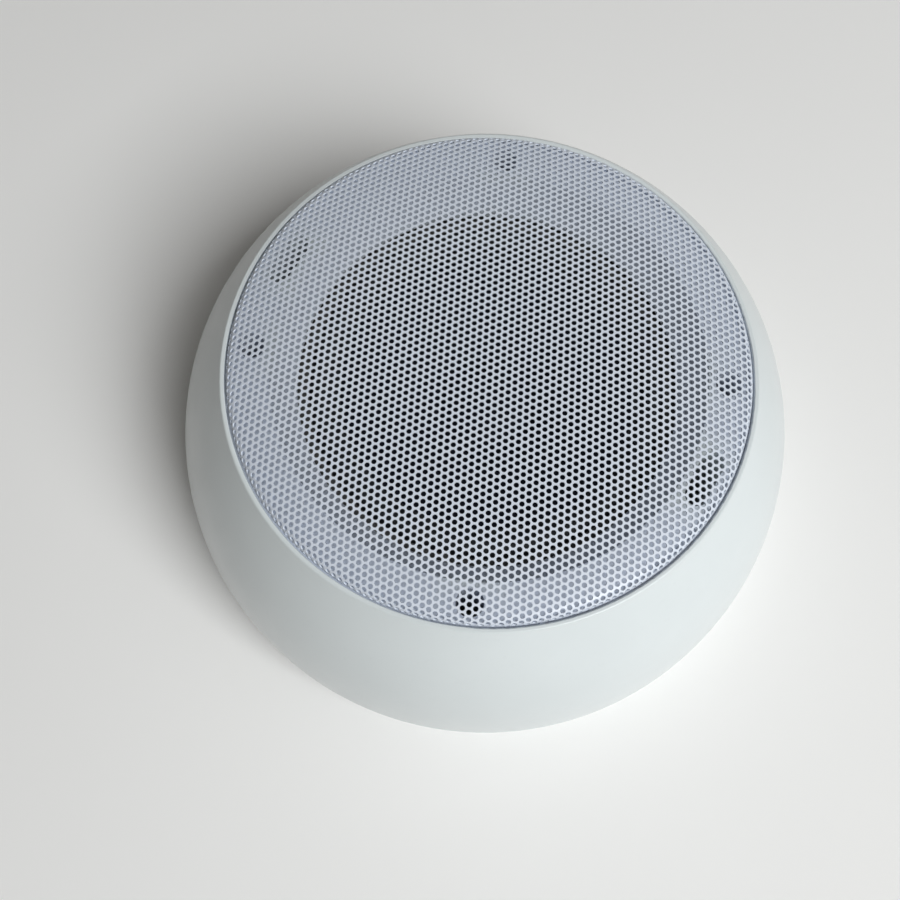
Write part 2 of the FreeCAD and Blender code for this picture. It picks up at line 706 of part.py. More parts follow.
# tab that carries the terminal strip, in the window at +Y
sk = new_sketch(basket, "Tab_outline", "XY_Plane", dim("ledge_top") - T)
box_outline(sk, dim("tab_wide") / -2.0, dim("ledge_out") - 2.0, dim("tab_wide") / 2.0, dim("tab_reach"))
doc.recompute()
raised(basket, "Tab", sk, T)

front_plate = new_body("front_plate")
spun(
    front_plate,
    "FrontPlate",
    [
        (dim("plate_hole"), dim("floor_top") - T - dim("plate_thick")),
        (dim("plate_rad"), dim("floor_top") - T - dim("plate_thick")),
        (dim("plate_rad"), dim("floor_top") - T),
        (dim("plate_hole"), dim("floor_top") - T),
    ],
)
magnet = new_body("magnet")
mag_top = dim("floor_top") - T - dim("plate_thick")
mag_low = mag_top - dim("magnet_thick")
spun(
    magnet,
    "Magnet",
    [
        (dim("magnet_hole"), mag_low),
        (dim("magnet_rad") - 0.8, mag_low),
        (dim("magnet_rad"), mag_low + 0.8),
        (dim("magnet_rad"), mag_top - 0.8),
        (dim("magnet_rad") - 0.8, mag_top),
        (dim("magnet_hole"), mag_top),
    ],
)
yoke = new_body("yoke")
spun(
    yoke,
    "Yoke",
    [
        (0.0, mag_low - dim("yoke_thick")),
        (dim("yoke_rad") - 1.2, mag_low - dim("yoke_thick")),
        (dim("yoke_rad"), mag_low - dim("yoke_thick") + 1.2),
        (dim("yoke_rad"), mag_low),
        (dim("pole_rad"), mag_low),
        (dim("pole_rad"), dim("floor_top") - T - 0.6),
        (dim("pole_rad") - 0.6, dim("floor_top") - T),
        (0.0, dim("floor_top") - T),
    ],
)

# ------------------------------------------------------------------ driver: moving system
former = new_body("coil_former")
spun(
    former,
    "Former",
    [
        (dim("former_in"), dim("former_low")),
        (dim("former_out"), dim("former_low")),
        (dim("former_out"), dim("former_top")),
        (dim("former_in"), dim("former_top")),
    ],
)
coil = new_body("voice_coil")
spun(
    coil,
    "Coil",
    [
        (dim("former_out"), dim("coil_low")),
        (dim("coil_out"), dim("coil_low")),
        (dim("coil_out"), dim("coil_low") + dim("coil_long")),
        (dim("former_out"), dim("coil_low") + dim("coil_long")),
    ],
)
cone = new_body("cone")
P = dim("paper")
neck = dim("former_out")
spun(
    cone,
    "Cone",
    [
        (neck, dim("cone_neck") - 1.2),
        (neck + 0.6, dim("cone_neck") - 1.2),
        (neck + 0.6, dim("cone_neck") - P, (118.0, -1)),
        (dim("cone_lip") + 0.3, F - P * 2),
        (dim("cone_rad"), F - P * 2),
        (dim("cone_rad"), F - P),
        (dim("cone_lip"), F - P, (118.0, +1)),
        (neck, dim("cone_neck")),
    ],
)
dust_cap = new_body("dust_cap")
cap_h = dim("cap_rise")
cap_r = dim("cap_rad")
cap_R = (cap_r * cap_r + cap_h * cap_h) / (cap_h * 2.0)
cap_base = plain(61.629)
spun(
    dust_cap,
    "DustCap",
    [
        (0.0, cap_base + cap_h - 0.5),
        (cap_r - 0.5, cap_base),
        (cap_r, cap_base, (cap_R, +1)),
        (0.0, cap_base + cap_h),
    ],
)
surround = new_body("surround")
Q = dim("rubber")
rm, rr = dim("roll_mid"), dim("roll_rad")
spun(
    surround,
    "Surround",
    [
        (dim("cone_lip") + 0.4, F - P),
        (rm - rr + Q, F - P),
        (rm - rr + Q, F + 0.1, (rr - Q, -1)),
        (rm + rr - Q, F + 0.1),
        (rm + rr - Q, F),
        (dim("surround_rad"), F),
        (dim("surround_rad"), F + Q),
        (rm + rr, F + Q, (rr + 0.02, +1)),
        (rm - rr, F + Q),
        (rm - rr, F - P + Q),
        (dim("cone_lip") + 0.4, F - P + Q),
    ],
)
card = new_body("card_gasket")
spun(
    card,
    "Card",
    [
        (dim("card_in"), F + Q),
        (dim("surround_rad") + 0.1, F + Q),
        (dim("surround_rad") + 0.1, F),
        (dim("card_out"), F),
        (dim("card_out"), dim("card_top")),
        (dim("card_in"), dim("card_top")),
    ],
)
seal = new_body("driver_seal")
spun(
    seal,
    "Foam",
    [
        (dim("foam_in"), dim("card_top")),
        (dim("card_out") - 0.4, dim("card_top")),
        (dim("card_out") - 0.4, dim("rim_low")),
        (dim("foam_in"), dim("rim_low")),
    ],
)
# corrugated centring disc: five waves between the former and the ledge
spider = new_body("spider")
sp_low = dim("ledge_top")
upper = [(neck, sp_low), (neck + 2.0, sp_low)]
for w in range(5):
    upper.append((neck + (3.6 + 4.0 * w), sp_low + 1.5))
    upper.append((neck + (5.6 + 4.0 * w), sp_low - 1.1 if w < 4 else sp_low))
upper = upper[:-1]
upper.append((dim("ledge_in") + 0.4, sp_low))
upper.append((dim("ledge_out") - 0.6, sp_low))
lower = [(x, z + 0.5) for x, z in reversed(upper)]
spun(spider, "Spider", upper + lower)

# ------------------------------------------------------------------ screws
def plus(sketch, x, y, reach, half):
    x, y, reach, half = (as_size(q) for q in (x, y, reach, half))
    pts = [
        (x + half, y + half), (x + half, y + reach), (x - half, y + reach), (x - half, y + half),
        (x - reach, y + half), (x - reach, y - half), (x - half, y - half), (x - half, y - reach),
        (x + half, y - reach), (x + half, y - half), (x + reach, y - half), (x + reach, y + half),
    ]
    plain_loop(sketch, pts)


def screw_set(label, spots, shank, low, head, head_low, head_top, reach, lead=0.9):
    """Pan-head screws standing on Z at the given spots: one body, one solid a screw."""
    body = new_body(label)
    if hasattr(body, "AllowCompound"):
        body.AllowCompound = True
    low, head_low, head_top = as_size(low), as_size(head_low), as_size(head_top)
    shank, head = as_size(shank), as_size(head)
    sk = new_sketch(body, label + "_shank", "XY_Plane", low)
    for x, y in spots:
        circle_at(sk, x, y, shank)
    doc.recompute()
    pad = raised(body, label + "_Shank", sk, head_low - low)
    edges = []
    for k, edge in enumerate(pad.Shape.Edges, start=1):
        if isinstance(edge.Curve, Part.Circle) and abs(edge.BoundBox.ZMax - low.number) < 1e-6:
            edges.append("Edge%d" % k)
    point = body.newObject("PartDesign::Chamfer", label + "_Point")
    point.Base = (pad, edges)
    point.Size = lead
    doc.recompute()
    sk = new_sketch(body, label + "_head", "XY_Plane", head_low)
    for x, y in spots:
        circle_at(sk, x, y, head)
    doc.recompute()
    pad = raised(body, label + "_Head", sk, head_top - head_low)
    edges = []
    for k, edge in enumerate(pad.Shape.Edges, start=1):
        if isinstance(edge.Curve, Part.Circle) and edge.BoundBox.ZMin > head_top.number - 1e-6:
            edges.append("Edge%d" % k)
    round_ = body.newObject("PartDesign::Fillet", label + "_HeadRound")
    round_.Base = (pad, edges)
    round_.Radius = (head_top.number - head_low.number) * 0.45
    doc.recompute()
    sk = new_sketch(body, label + "_recess", "XY_Plane", head_top)
    for x, y in spots:
        plus(sk, x, y, reach, reach * 0.24)
    doc.recompute()
    sunk(body, label + "_Recess", sk, (head_top - head_low) * 0.6)
    return body


well = dim("well_pitch")
screw_set(
    "housing_screws",
    [(well, 0.0), (0.0, well), (well * -1.0, 0.0), (0.0, well * -1.0)],
    dim("post_pilot") - 0.02,
    5.0,
    3.7,
    dim("well_floor"),
    dim("well_floor") + 2.8,
    2.1,
)
boss = dim("boss_pitch") * s45
head_at = F - T
driver_screws = screw_set(
    "driver_screws",
    [(boss, boss), (boss * -1.0, boss), (boss * -1.0, boss * -1.0), (boss, boss * -1.0)],
    dim("boss_pilot") - 0.02,
    F * -1.0 - 10.5,
    3.6,
    head_at * -1.0,
    head_at * -1.0 + 2.3,
    1.9,
)
# these go in from behind, towards the front
driver_screws.Placement = Placement(Vector(0, 0, 0), Rotation(Vector(1, 0, 0), 180))


def soften(points, radii):
    """Rounds the corners of an outline whose edges all run along X or Y."""
    out = []
    n = len(points)
    for k in range(n):
        (px, py), (x, y), (qx, qy) = points[k - 1], points[k], points[(k + 1) % n]
        px, py, x, y, qx, qy = (as_size(v) for v in (px, py, x, y, qx, qy))
        r = radii[k]
        if not r:
            out.append((x, y))
            continue

        def sign(v):
            return 0.0 if abs(v) < 1e-9 else math.copysign(1.0, v)

        ix, iy = sign(x.number - px.number), sign(y.number - py.number)
        ox, oy = sign(qx.number - x.number), sign(qy.number - y.number)
        side = 1 if ix * oy - iy * ox > 0 else -1
        out.append((x - r * ix, y - r * iy, (r, side)))
        out.append((x + r * ox, y + r * oy))
    return out


# ------------------------------------------------------------------ line transformer
def place(body, pitch, angle):
    body.Placement = Placement(
        Vector(pitch.number * math.cos(math.radians(angle)), pitch.number * math.sin(math.radians(angle)), 0),
        Rotation(Vector(0, 0, 1), angle),
    )
    body.setExpression("Placement.Base.x", "%s * cos(%g)" % (pitch.words, angle))
    body.setExpression("Placement.Base.y", "%s * sin(%g)" % (pitch.words, angle))


tp = dim("trans_pitch")
cw, ct, cd = dim("core_wide"), dim("core_tall"), dim("core_deep")
cl, cy_, cz = dim("core_leg"), dim("core_yoke"), dim("core_low")
core = new_body("transformer_core")
sk = new_sketch(core, "Stack_outline", "YZ_Plane", cd / -2.0)
sk.setExpression("AttachmentOffset.Base.z", "-dims.core_deep / 2")
plain_loop(sk, [(cw / -2.0, cz), (cw / 2.0, cz), (cw / 2.0, cz + ct), (cw / -2.0, cz + ct)])
doc.recompute()
raised(core, "Stack", sk, cd)
sk = new_sketch(core, "CoreWindow_outline", "YZ_Plane", cd / 2.0)
sk.setExpression("AttachmentOffset.Base.z", "dims.core_deep / 2")
for side in (-1.0, 1.0):
    a, b = cl / 2.0 * side, (cw / 2.0 - cy_) * side
    lo, hi = (a, b) if side > 0 else (b, a)
    plain_loop(sk, [(lo, cz + cy_), (hi, cz + cy_), (hi, cz + ct - cy_), (lo, cz + ct - cy_)])
doc.recompute()
sunk(core, "CoreWindow", sk, cd + 0.5)
place(core, tp, 45)

bobbin = new_body("transformer_bobbin")
b_low = cz + cy_
b_top = cz + ct - cy_ - 0.1
fl = plain(0.9)
sk = new_sketch(bobbin, "BobbinLow_outline", "XY_Plane", b_low)
box_outline(sk, -13.4, -13.8, 13.4, 13.8)
doc.recompute()
raised(bobbin, "BobbinLow", sk, fl)
sk = new_sketch(bobbin, "BobbinTube_outline", "XY_Plane", b_low + 0.5)
box_outline(sk, -8.0, -8.0, 8.0, 8.0)
doc.recompute()
raised(bobbin, "BobbinTube", sk, b_top - b_low - 1.0)
sk = new_sketch(bobbin, "BobbinTop_outline", "XY_Plane", b_top - fl)
box_outline(sk, -13.4, -13.8, 13.4, 13.8)
doc.recompute()
raised(bobbin, "BobbinTop", sk, fl)
sk = new_sketch(bobbin, "BobbinBore_outline", "XY_Plane", b_top)
box_outline(sk, cd / -2.0 - 0.08, cl / -2.0 - 0.08, cd / 2.0 + 0.08, cl / 2.0 + 0.08)
doc.recompute()
sunk(bobbin, "BobbinBore", sk, b_top - b_low + 1.0)
place(bobbin, tp, 45)

winding = new_body("transformer_winding")
sk = new_sketch(winding, "Winding_outline", "XY_Plane", b_low + fl)
plain_loop(sk, soften([(-13.0, -13.3), (13.0, -13.3), (13.0, 13.3), (-13.0, 13.3)], [3.0] * 4))
plain_loop(sk, [(-8.0, -8.0), (8.0, -8.0), (8.0, 8.0), (-8.0, 8.0)])
doc.recompute()
raised(winding, "Winding", sk, b_top - b_low - fl * 2.0)
place(winding, tp, 45)

bracket = new_body("transformer_bracket")
st, fo, fr, sw = dim("strap"), dim("foot_low"), dim("foot_reach"), dim("strap_wide")
top = cz + ct
sk = new_sketch(bracket, "Strap_outline", "YZ_Plane", sw / -2.0)
sk.setExpression("AttachmentOffset.Base.z", "-dims.strap_wide / 2")
half = cw / 2.0
plain_loop(
    sk,
    soften(
        [
            (half, top), (half, fo), (fr, fo), (fr, fo + st), (half + st, fo + st),
            (half + st, top + st), (half * -1.0 - st, top + st), (half * -1.0 - st, fo + st),
            (fr * -1.0, fo + st), (fr * -1.0, fo), (half * -1.0, fo), (half * -1.0, top),
        ],
        [0, 1.2, 0, 0, 0.4, 0.8, 0.8, 0.4, 0, 0, 1.2, 0],
    ),
)
doc.recompute()
raised(bracket, "Strap", sk, sw)
sk = new_sketch(bracket, "FootHole_outline", "XY_Plane", fo + st)
circle_at(sk, 0.0, dim("foot_hole"), 1.7)
circle_at(sk, 0.0, dim("foot_hole") * -1.0, 1.7)
doc.recompute()
sunk(bracket, "FootHole", sk, st + 0.2)
place(bracket, tp, 45)
foot_screws = screw_set(
    "transformer_screws",
    [(0.0, dim("foot_hole")), (0.0, dim("foot_hole") * -1.0)],
    1.28,
    2.2,
    2.8,
    fo + st,
    fo + st + 1.9,
    1.5,
    lead=0.6,
)
place(foot_screws, tp, 45)

# ------------------------------------------------------------------ input terminals
bp, bl, bd = dim("block_pitch"), dim("block_long"), dim("block_deep")
bt, bz = dim("block_tall"), dim("block_low")
block = new_body("terminal_block")
sk = new_sketch(block, "Block_outline", "XY_Plane", bz)
box_outline(sk, bd / -2.0 + 0.3, bl / -2.0 + 0.3, bd / 2.0 - 0.3, bl / 2.0 - 0.3)
doc.recompute()
block_pad = raised(block, "Block", sk, bt)
edges = []
for k, edge in enumerate(block.Shape.Edges, start=1):
    if edge.BoundBox.ZMin > VALUE["block_low"] + VALUE["block_tall"] - 1e-6:
        edges.append("Edge%d" % k)
chamfer = block.newObject("PartDesign::Chamfer", "BlockEdge")
chamfer.Base = (block_pad, edges)
chamfer.Size = 0.8
doc.recompute()
sk = new_sketch(block, "ClampBore_outline", "XY_Plane", bz + bt)
circle_at(sk, 0.0, 8.0, 1.7)
circle_at(sk, 0.0, -8.0, 1.7)
doc.recompute()
sunk(block, "ClampBore", sk, 8.4)
sk = new_sketch(block, "FixBore_outline", "XY_Plane", bz + bt)
circle_at(sk, 0.0, 0.0, 1.5)
doc.recompute()
sunk(block, "FixBore", sk, bt + 0.5)
sk = new_sketch(block, "FixSeat_outline", "XY_Plane", bz + bt)
circle_at(sk, 0.0, 0.0, 3.0)
doc.recompute()
sunk(block, "FixSeat", sk, 6.0)
sk = new_sketch(block, "WireBore_outline", "YZ_Plane", bd / 2.0)
sk.setExpression("AttachmentOffset.Base.z", "dims.block_deep / 2")
circle_at(sk, 8.0, bz + 3.6, 1.3)
circle_at(sk, -8.0, bz + 3.6, 1.3)
doc.recompute()
sunk(block, "WireBore", sk, bd + 0.5)
place(block, bp, 225)

wire_rad = 0.9
clamp_low = bz + 3.6 - 1.3 + wire_rad * 2
clamps = new_body("terminal_block_screws")
if hasattr(clamps, "AllowCompound"):
    clamps.AllowCompound = True
sk = new_sketch(clamps, "Clamp_outline", "XY_Plane", clamp_low)
circle_at(sk, 0.0, 8.0, 1.62)
circle_at(sk, 0.0, -8.0, 1.62)
doc.recompute()
raised(clamps, "Clamp", sk, 6.4)
sk = new_sketch(clamps, "ClampSlot_outline", "XY_Plane", clamp_low + 6.4)
for side in (-1.0, 1.0):
    box_outline(sk, -2.0, 8.0 * side - 0.3, 2.0, 8.0 * side + 0.3)
doc.recompute()
sunk(clamps, "ClampSlot", sk, 0.9)
place(clamps, bp, 225)
fixing_screw = screw_set(
    "terminal_block_fixing", [(0.0, 0.0)], 1.28, 2.2, 2.7, bz + bt - 6.0, bz + bt - 4.2, 1.5, lead=0.6
)
place(fixing_screw, bp, 225)

# ------------------------------------------------------------------ terminals of the driver
strip = new_body("terminal_strip")
lt = dim("ledge_top")
sk = new_sketch(strip, "Strip_outline", "XY_Plane", lt)
box_outline(sk, -8.0, 45.8, 8.0, 56.6)
doc.recompute()
raised(strip, "Strip", sk, 1.6)
tags = new_body("terminal_tags")
if hasattr(tags, "AllowCompound"):
    tags.AllowCompound = True
sk = new_sketch(tags, "Tag_outline", "XY_Plane", lt + 1.6)
for side in (-1.0, 1.0):
    plain_loop(
        sk,
        soften(
            [
                (4.0 * side - 2.0, 46.4), (4.0 * side + 2.0, 46.4),
                (4.0 * side + 2.0, 64.0), (4.0 * side - 2.0, 64.0),
            ],
            [0.6, 0.6, 1.6, 1.6],
        ),
    )
doc.recompute()
raised(tags, "Tag", sk, 0.5)
sk = new_sketch(tags, "TagRivet_outline", "XY_Plane", lt + 1.6)
circle_at(sk, 4.0, 50.5, 1.3)
circle_at(sk, -4.0, 50.5, 1.3)
doc.recompute()
raised(tags, "TagRivet", sk, 1.2)


# ------------------------------------------------------------------ wires
def strand(points, rad):
    """A round wire: straight runs with a tangent arc at each corner."""
    points = [Vector(*p) for p in points]
    cuts = [0.0] * len(points)
    for k in range(1, len(points) - 1):
        cuts[k] = 0.45 * min((points[k] - points[k - 1]).Length, (points[k + 1] - points[k]).Length)
    edges = []
    here = points[0]
    for k in range(1, len(points) - 1):
        back = (points[k - 1] - points[k]).normalize()
        on = (points[k + 1] - points[k]).normalize()
        start, stop = points[k] + back * cuts[k], points[k] + on * cuts[k]
        turn = math.pi - back.getAngle(on)
        if turn < 0.02:
            edges.append(Part.LineSegment(here, points[k]).toShape())
            here = points[k]
            continue
        bend = cuts[k] / math.tan(turn / 2)
        inward = (back + on).normalize()
        centre = points[k] + inward * math.hypot(bend, cuts[k])
        middle = centre - inward * bend
        edges.append(Part.LineSegment(here, start).toShape())
        edges.append(Part.Arc(start, middle, stop).toShape())
        here = stop
    edges.append(Part.LineSegment(here, points[-1]).toShape())
    path = Part.Wire(edges)
    first = (points[1] - points[0]).normalize()
    section = Part.Wire([Part.makeCircle(rad, points[0], first)])
    pipe = path.makePipeShell([section], True, False)
    return pipe if pipe.ShapeType == "Solid" else pipe.Solids[0]


def uv(u, v, z):
    """A point given along the line from the terminal block to the transformer."""
    return ((u - v) * s45, (u + v) * s45, z)


b_u = value_of("block_pitch")
b_z = value_of("block_low") + 3.6 - 1.3 + wire_rad
t_u = value_of("trans_pitch")
wires = [
    strand(
        [
            uv(-b_u - 2.0, 8.0 * side, b_z),
            uv(-b_u + 14.0, 8.0 * side, b_z),
            uv(-42.0, 4.0 * side, 9.5),
            uv(0.0, 3.2 * side, 12.0),
            uv(t_u - 26.0, 3.6 * side, 12.5),
            uv(t_u - 19.0, 4.0 * side, 17.0),
            uv(t_u - 13.0, 4.0 * side, 17.0),
        ],
        wire_rad,
    )
    for side in (1.0, -1.0)
]
input_wires = doc.addObject("Part::Feature", "InputWires")
input_wires.Label = "input_wires"
input_wires.Shape = Part.makeCompound(wires)
input_wires.Placement = Placement()

tag_top = value_of("ledge_top") + 1.6 + 0.5
wires = [
    strand(
        [
            uv(t_u - 13.0, 9.0, 26.0),
            uv(t_u - 20.0, 9.0, 26.0),
            (31.0, 66.0, 40.0),
            (14.0, 75.4, 52.0),
            (-4.0, 75.6, tag_top + wire_rad),
            (-4.0, 66.0, tag_top + wire_rad),
            (-4.0, 57.5, tag_top + wire_rad),
        ],
        wire_rad,
    ),
    strand(
        [
            uv(t_u - 13.0, 5.5, 26.0),
            uv(t_u - 20.0, 5.5, 26.0),
            (27.0, 59.0, 40.0),
            (14.0, 69.6, 52.0),
            (4.0, 70.2, tag_top + wire_rad),
            (4.0, 64.5, tag_top + wire_rad),
            (4.0, 57.5, tag_top + wire_rad),
        ],
        wire_rad,
    ),
]
driver_wires = doc.addObject("Part::Feature", "DriverWires")
driver_wires.Label = "driver_wires"
driver_wires.Shape = Part.makeCompound(wires)
driver_wires.Placement = Placement()

lead_rad = 0.5
leads = []
for side in (1.0, -1.0):
    leads.append(
        strand(
            [
                (4.0 * side, 49.1, tag_top + lead_rad),
                (4.0 * side, 47.9, tag_top + lead_rad),
                (4.1 * side, 45.2, 59.4),
                (4.4 * side, 38.0, 59.4),
                (4.6 * side, 31.0, 60.5),
                (4.6 * side, 26.2, 65.1),
            ],
            lead_rad,
        )
    )
tinsel = doc.addObject("Part::Feature", "TinselLeads")
tinsel.Label = "tinsel_leads"
tinsel.Shape = Part.makeCompound(leads)
tinsel.Placement = Placement()

# ------------------------------------------------------------------ grille
# Pressed from sheet. The height falls with the fourth power of the radius, so the middle is almost
# flat and the fall gathers towards the edge; there it bends down into a short skirt that stands on
# the baffle ring. The outline is a chain of arcs through that curve.
grille = new_body("grille")
grille_z, fall, gauge = dim("grille_top"), dim("grille_fall"), dim("grille_thick")
bend_rad, edge_bend, grille_rad = dim("bend_start"), dim("edge_bend"), dim("grille_rad")
quartic = VALUE["grille_fall"] / VALUE["bend_start"] ** 4
# inside the first step the fall is under 0.01 mm and the sheet is flat
steps = [0.15, 0.3, 0.5, 0.65, 0.78, 0.9, 1.0]
flat = steps[0]


def dome(part, lower):
    """A point of the dome at a part of the bend's radius, on the outer or the inner face."""
    drop = fall * part**4 if part > flat else fall * 0.0
    return bend_rad * part, grille_z - drop - (gauge if lower else 0.0)


def arc_rad(p0, p1, lower):
    """Radius of the arc through the curve at both ends and the middle of a stretch."""
    pts = []
    for part in (p0, (p0 + p1) / 2.0, p1):
        r = VALUE["bend_start"] * part
        pts.append((r, -quartic * r**4))
    (x0, y0), (x1, y1), (x2, y2) = pts
    a = math.hypot(x1 - x0, y1 - y0)
    b = math.hypot(x2 - x1, y2 - y1)
    c = math.hypot(x2 - x0, y2 - y0)
    area = abs((x1 - x0) * (y2 - y0) - (x2 - x0) * (y1 - y0)) / 2.0
    return plain(round(a * b * c / (4.0 * area), 3))


tilt = math.atan(4.0 * quartic * VALUE["bend_start"] ** 3)
# the bend turns from the dome's slope to straight down
turn_x = grille_rad - edge_bend
turn_z = grille_z - fall - edge_bend * math.cos(tilt)
outline = []
for k in range(len(steps) - 1, 0, -1):
    outline.append(dome(steps[k], False) + ((arc_rad(steps[k - 1], steps[k], False), +1),))
outline += [dome(flat, False), (0.0, grille_z), (0.0, grille_z - gauge)]
for k in range(len(steps) - 1):
    outline.append(dome(steps[k], True) + ((arc_rad(steps[k], steps[k + 1], True), -1),))
low_x = turn_x + (edge_bend - gauge) * math.sin(tilt)
low_z = turn_z + (edge_bend - gauge) * math.cos(tilt)
outline += [
    (low_x, low_z, (edge_bend - gauge, -1)),
    (grille_rad - gauge, turn_z),
    (grille_rad - gauge, dim("ring_top")),
    (grille_rad, dim("ring_top")),
    (grille_rad, turn_z, (edge_bend, +1)),
]
spun(grille, "Pressing", outline)

# ------------------------------------------------------------------ checks and export
doc.recompute()
faults = []
for obj in doc.Objects:
    if any(s in ("Invalid", "Error") for s in obj.State):
        faults.append("%s (%s): %s" % (obj.Name, obj.Label, obj.State))
if faults:
    print("\n".join(faults))
    sys.exit("the model has failed objects")

nodes = [o for o in doc.Objects if o.TypeId in ("PartDesign::Body", "Part::Feature")]
for node in nodes:
    shape = node.Shape
    if shape.isNull() or not shape.isValid() or not shape.Solids:
        sys.exit("bad shape: " + node.Label)
for node in nodes:
    node.Shape.exportStep("parts/%s.step" % node.Label)
    print("%-22s solids %d volume %10.1f  z %6.2f..%6.2f" % (
        node.Label, len(node.Shape.Solids), node.Shape.Volume,
        node.Shape.BoundBox.ZMin, node.Shape.BoundBox.ZMax))
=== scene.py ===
import json
import math

import bmesh
import bpy
import numpy as np
from mathutils import Matrix, Vector
from mathutils.geometry import delaunay_2d_cdt


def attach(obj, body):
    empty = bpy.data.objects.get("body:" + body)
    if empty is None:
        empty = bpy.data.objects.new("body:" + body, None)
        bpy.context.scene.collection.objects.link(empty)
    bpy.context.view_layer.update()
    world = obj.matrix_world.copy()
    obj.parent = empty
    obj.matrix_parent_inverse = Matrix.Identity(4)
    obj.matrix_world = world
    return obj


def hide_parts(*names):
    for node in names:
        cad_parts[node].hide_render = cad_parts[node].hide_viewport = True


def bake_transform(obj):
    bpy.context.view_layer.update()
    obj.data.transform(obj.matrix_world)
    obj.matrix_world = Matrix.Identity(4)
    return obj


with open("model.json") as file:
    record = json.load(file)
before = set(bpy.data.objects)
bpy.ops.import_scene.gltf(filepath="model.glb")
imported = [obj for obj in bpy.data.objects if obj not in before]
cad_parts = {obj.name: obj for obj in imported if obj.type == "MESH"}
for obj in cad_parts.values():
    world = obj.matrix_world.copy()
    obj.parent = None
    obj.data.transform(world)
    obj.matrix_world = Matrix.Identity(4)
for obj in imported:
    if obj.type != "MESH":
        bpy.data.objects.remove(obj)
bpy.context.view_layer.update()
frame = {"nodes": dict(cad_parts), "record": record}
nodes = frame["nodes"]
MM = 0.001

# ------------------------------------------------------------------ sizes, millimetres
GRILLE_TOP = 110.0
GRILLE_RAD = 92.6
GRILLE_FOOT = 99.3
SHEET = 0.5
PITCH = 2.5
HOLE = 0.9
SHIFT = (-0.1590, 0.2325)
TURN = math.radians(1.05)
# the dome falls with the fourth power of the radius, 5.331 mm by 89.53 mm
QUARTIC = 5.331 / 89.53**4


# ------------------------------------------------------------------ mesh helpers
def new_object(name, verts, faces, body, smooth_deg=50.0):
    mesh = bpy.data.meshes.new(name)
    mesh.from_pydata([tuple(v) for v in verts], [], [tuple(f) for f in faces])
    mesh.validate()
    mesh.update()
    obj = bpy.data.objects.new(name, mesh)
    bpy.context.scene.collection.objects.link(obj)
    mesh.shade_smooth()
    mesh.set_sharp_from_angle(angle=math.radians(smooth_deg))
    if body:
        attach(obj, body)
    return obj


def lathe(name, outline, body, count=160, closed=True, smooth_deg=40.0, keep=None):
    """Turns an outline of (radius, height) points in mm about Z."""
    verts, faces = [], []
    n = len(outline)
    ring = []
    for r, z in outline:
        if r < 1e-6:
            ring.append([len(verts)] * count)
            verts.append((0.0, 0.0, z * MM))
        else:
            row = []
            for k in range(count):
                a = 2 * math.pi * k / count
                row.append(len(verts))
                verts.append((r * MM * math.cos(a), r * MM * math.sin(a), z * MM))
            ring.append(row)
    last = n if closed else n - 1
    for i in range(last):
        a, b = ring[i], ring[(i + 1) % n]
        if a[0] == a[1] and b[0] == b[1]:
            continue
        for k in range(count):
            m = (k + 1) % count
            face = [a[k], a[m], b[m], b[k]]
            out = []
            for v in face:
                if v not in out:
                    out.append(v)
            if len(out) > 2:
                faces.append(out)
    obj = new_object(name, verts, faces, None, smooth_deg)
    fix_normals(obj)
    if body:
        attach(obj, body)
    return obj


def fix_normals(obj):
    bm = bmesh.new()
    bm.from_mesh(obj.data)
    bmesh.ops.recalc_face_normals(bm, faces=bm.faces)
    bm.to_mesh(obj.data)
    bm.free()
    obj.data.update()


def bow(cx, cy, rad, a0, a1, steps):
    """Points on an arc, from a0 to a1 degrees."""
    return [
        (
            cx + rad * math.cos(math.radians(a0 + (a1 - a0) * k / steps)),
            cy + rad * math.sin(math.radians(a0 + (a1 - a0) * k / steps)),
        )
        for k in range(steps + 1)
    ]


def between(a, b, rad, side, steps):
    """Points on an arc through a and b; side +1 turns anticlockwise from a to b."""
    mx, my = (a[0] + b[0]) / 2, (a[1] + b[1]) / 2
    dx, dy = b[0] - a[0], b[1] - a[1]
    gap = math.hypot(dx, dy)
    off = math.sqrt(max(rad * rad - gap * gap / 4, 0.0))
    cx, cy = mx - side * dy / gap * off, my + side * dx / gap * off
    s, e = math.atan2(a[1] - cy, a[0] - cx), math.atan2(b[1] - cy, b[0] - cx)
    if side > 0 and e < s:
        e += 2 * math.pi
    if side < 0 and e > s:
        e -= 2 * math.pi
    return [
        (cx + rad * math.cos(s + (e - s) * k / steps), cy + rad * math.sin(s + (e - s) * k / steps))
        for k in range(steps + 1)
    ]


def weigh(obj):
    """Bakes the piece's placement into its mesh."""
    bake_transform(obj)


# ------------------------------------------------------------------ material helpers
def tree_of(name):
    mat = bpy.data.materials.new(name)
    mat.use_nodes = True
    nt = mat.node_tree
    nt.nodes.clear()
    out = nt.nodes.new("ShaderNodeOutputMaterial")
    bsdf = nt.nodes.new("ShaderNodeBsdfPrincipled")
    nt.links.new(bsdf.outputs[0], out.inputs[0])
    coord = nt.nodes.new("ShaderNodeTexCoord")
    return mat, nt, bsdf, coord.outputs["Object"]


def noise(nt, vec, scale, detail=3.0, rough=0.5, stretch=None):
    if stretch:
        mapping = nt.nodes.new("ShaderNodeMapping")
        mapping.inputs["Scale"].default_value = stretch
        nt.links.new(vec, mapping.inputs["Vector"])
        vec = mapping.outputs[0]
    node = nt.nodes.new("ShaderNodeTexNoise")
    node.inputs["Scale"].default_value = scale
    node.inputs["Detail"].default_value = detail
    node.inputs["Roughness"].default_value = rough
    nt.links.new(vec, node.inputs["Vector"])
    return node.outputs["Fac"]


